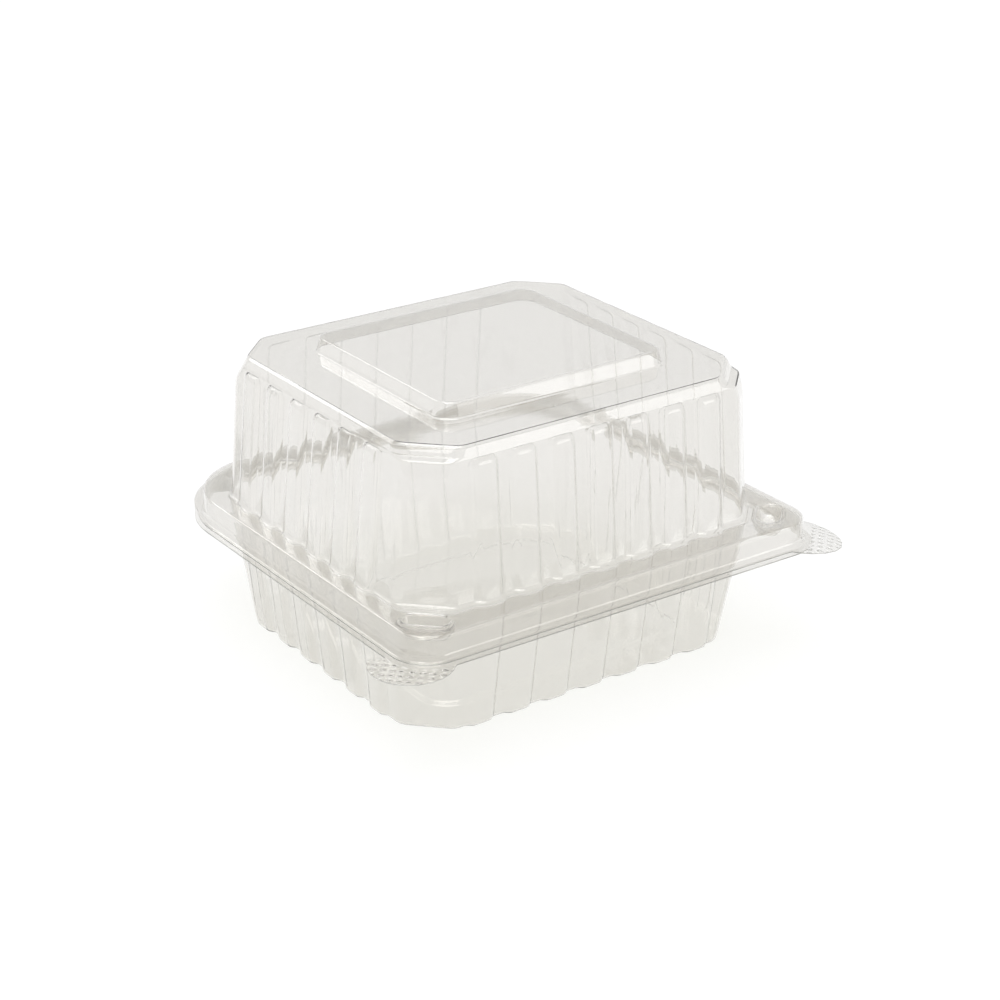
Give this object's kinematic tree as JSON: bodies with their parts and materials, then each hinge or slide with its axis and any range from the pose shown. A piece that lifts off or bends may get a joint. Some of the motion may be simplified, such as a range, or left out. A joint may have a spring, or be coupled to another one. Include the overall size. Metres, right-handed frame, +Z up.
{
  "type": "burger box",
  "caption": "Clear hinged takeaway box with a fluted square tray, a domed fluted lid, a snap rim and thumb tabs.",
  "frame": {"origin": "on the surface the closed box stands on, under the middle of its outline", "axes": "+X to the right along the front, +Y towards the hinge at the back, +Z up"},
  "size_m": [0.1452, 0.1383, 0.0808],
  "materials": {
    "clear_tray_sheet": "gloss",
    "clear_lid_sheet": "gloss"
  },
  "bodies": {
    "tray": {"tray": "clear_tray_sheet"},
    "lid": {"lid": "clear_lid_sheet"}
  },
  "joints": [
    {"name": "lid_hinge", "type": "hinge", "parent": "tray", "child": "lid", "pos_m": [0, 0.0694, 0.02975], "axis": [-1, 0, 0], "range_deg": [0, 148]}
  ]
}
